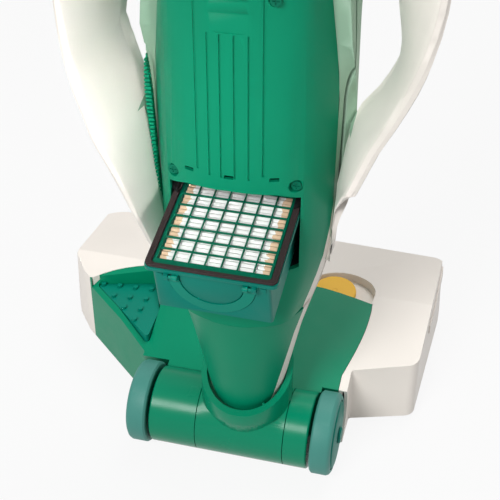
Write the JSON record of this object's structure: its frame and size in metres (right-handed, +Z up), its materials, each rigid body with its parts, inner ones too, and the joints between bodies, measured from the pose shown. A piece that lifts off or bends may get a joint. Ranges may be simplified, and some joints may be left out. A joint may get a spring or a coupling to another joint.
{
  "type": "upright vacuum cleaner",
  "caption": "Upright vacuum cleaner: electric brush head on wheels, tilting body with wide side grips, a pull-out rear filter drawer, a bag cover and a long handle.",
  "frame": {"origin": "on the floor, under the middle of the machine's outline", "axes": "+X right seen from behind, +Y forward towards the floor head's front, +Z up"},
  "size_m": [0.331, 0.3092, 1.1263],
  "materials": {
    "green_plastic": "satin moulded plastic",
    "teal_plastic": "fine grained plastic",
    "cream_plastic": "fine grained plastic",
    "yellow_plastic": "smooth plastic",
    "black_plastic": "moulded plastic",
    "black_rubber": "soft rubber",
    "tyre": "soft tyre",
    "filter_media": "pleated fleece",
    "bag_paper": "filter paper",
    "bristle": "nylon bristles",
    "steel": "brushed",
    "grey_plastic": "moulded plastic"
  },
  "bodies": {
    "head": {"nozzle_cover": "cream_plastic", "rear_housing": "green_plastic", "sole_plate": "black_plastic", "bumper_strip": "grey_plastic", "suction_duct": "black_plastic", "barrel_left": "green_plastic", "barrel_right": "green_plastic", "axle_left": "steel", "axle_right": "steel", "brush_bearings": "steel", "brush_motor": "steel", "roller_pins": "steel", "dial_pin": "black_plastic", "pedal_pin": "steel", "drive_belt": "black_rubber"},
    "brush": {"brush_core": "black_plastic", "bristle_rows": "bristle", "brush_pulley": "grey_plastic"},
    "motor_drive": {"motor_pulley": "steel"},
    "left_wheel": {"hub_left": "teal_plastic", "tyre_left": "tyre"},
    "right_wheel": {"hub_right": "teal_plastic", "tyre_right": "tyre"},
    "left_roller": {"roller_left": "black_plastic"},
    "right_roller": {"roller_right": "black_plastic"},
    "dial": {"height_dial": "yellow_plastic"},
    "pedal": {"release_pedal": "teal_plastic"},
    "upright": {"tilt_collar": "green_plastic", "nose_rear": "green_plastic", "lower_shell": "cream_plastic", "rear_casing": "green_plastic", "filter_bay": "black_plastic", "chassis": "grey_plastic", "frame_left": "cream_plastic", "frame_right": "cream_plastic", "grip_strip_left": "green_plastic", "grip_strip_right": "green_plastic", "cover_pin": "steel", "fan_motor": "black_plastic", "bag_holder": "grey_plastic", "filter_bag": "bag_paper", "riser_tube": "grey_plastic", "casing_screws": "steel", "shoulder_cap": "green_plastic", "cord_inlet": "black_rubber", "stem_tube": "steel", "handle_left": "green_plastic", "handle_right": "green_plastic", "hook_base": "green_plastic", "hook_lower": "green_plastic"},
    "cover": {"bag_cover": "green_plastic"},
    "latch": {"cover_latch": "teal_plastic"},
    "fan": {"fan_impeller": "grey_plastic"},
    "drawer": {"cassette_tray": "teal_plastic", "cassette_grid": "green_plastic", "filter_media": "filter_media", "cassette_seal": "black_rubber"},
    "bail": {"cassette_bail": "teal_plastic"},
    "switch": {"power_switch": "yellow_plastic"},
    "hook": {"hook_upper": "teal_plastic"}
  },
  "joints": [
    {"name": "body_tilt", "type": "hinge", "parent": "head", "child": "upright", "pos_m": [0.03252, -0.05863, 0.033], "axis": [1, 0, 0], "range_deg": [0, 70]},
    {"name": "wheel_left_spin", "type": "hinge", "parent": "head", "child": "left_wheel", "pos_m": [-0.05248, -0.05863, 0.033], "axis": [1, 0, 0], "continuous": true},
    {"name": "wheel_right_spin", "type": "hinge", "parent": "head", "child": "right_wheel", "pos_m": [0.09853, -0.05863, 0.033], "axis": [1, 0, 0], "continuous": true},
    {"name": "roller_left_spin", "type": "hinge", "parent": "head", "child": "left_roller", "pos_m": [-0.09947, 0.07137, 0.008], "axis": [1, 0, 0], "continuous": true},
    {"name": "roller_right_spin", "type": "hinge", "parent": "head", "child": "right_roller", "pos_m": [0.09652, 0.07137, 0.008], "axis": [1, 0, 0], "continuous": true},
    {"name": "brush_spin", "type": "hinge", "parent": "head", "child": "brush", "pos_m": [0.03252, 0.10937, 0.0215], "axis": [1, 0, 0], "continuous": true},
    {"name": "motor_spin", "type": "hinge", "parent": "head", "child": "motor_drive", "pos_m": [0.14752, 0.03737, 0.034], "axis": [1, 0, 0], "continuous": true},
    {"name": "dial_turn", "type": "hinge", "parent": "head", "child": "dial", "pos_m": [0.07752, 0.07037, 0.0715], "axis": [0, -0.1045, 0.9945], "range_deg": [-120, 120]},
    {"name": "pedal_press", "type": "hinge", "parent": "head", "child": "pedal", "pos_m": [-0.10256, 0.0433, 0.0588], "axis": [0.9655, 0.2606, 0], "range_deg": [0, 5], "stiffness_Nm_per_rad": 0.6, "springref_deg": -17.19},
    {"name": "drawer_slide", "type": "slide", "parent": "upright", "child": "drawer", "axis": [0, -0.9744, -0.225], "range_m": [-0.0468, 0.06]},
    {"name": "bail_swing", "type": "hinge", "parent": "drawer", "child": "bail", "pos_m": [0.03252, -0.15247, 0.23871], "axis": [1, 0, 0], "range_deg": [-95, 0]},
    {"name": "cover_open", "type": "hinge", "parent": "upright", "child": "cover", "pos_m": [0.03252, 0.01737, 0.268], "axis": [1, 0, 0], "range_deg": [-70, 0]},
    {"name": "latch_press", "type": "slide", "parent": "upright", "child": "latch", "axis": [0, 0, 1], "range_m": [0, 0.0028], "stiffness_N_per_m": 200, "springref_m": -0.002},
    {"name": "fan_spin", "type": "hinge", "parent": "upright", "child": "fan", "pos_m": [0.03252, -0.01663, 0.38], "axis": [0, 0, 1], "continuous": true},
    {"name": "switch_slide", "type": "slide", "parent": "upright", "child": "switch", "axis": [0, 0, 1], "range_m": [-0.005, 0.005]},
    {"name": "hook_turn", "type": "hinge", "parent": "upright", "child": "hook", "pos_m": [0.03252, -0.07463, 0.93], "axis": [0, 1, 0], "range_deg": [-180, 180]}
  ],
  "couplings": [
    {"joint": "motor_spin", "follows": "brush_spin", "ratio": 2}
  ]
}
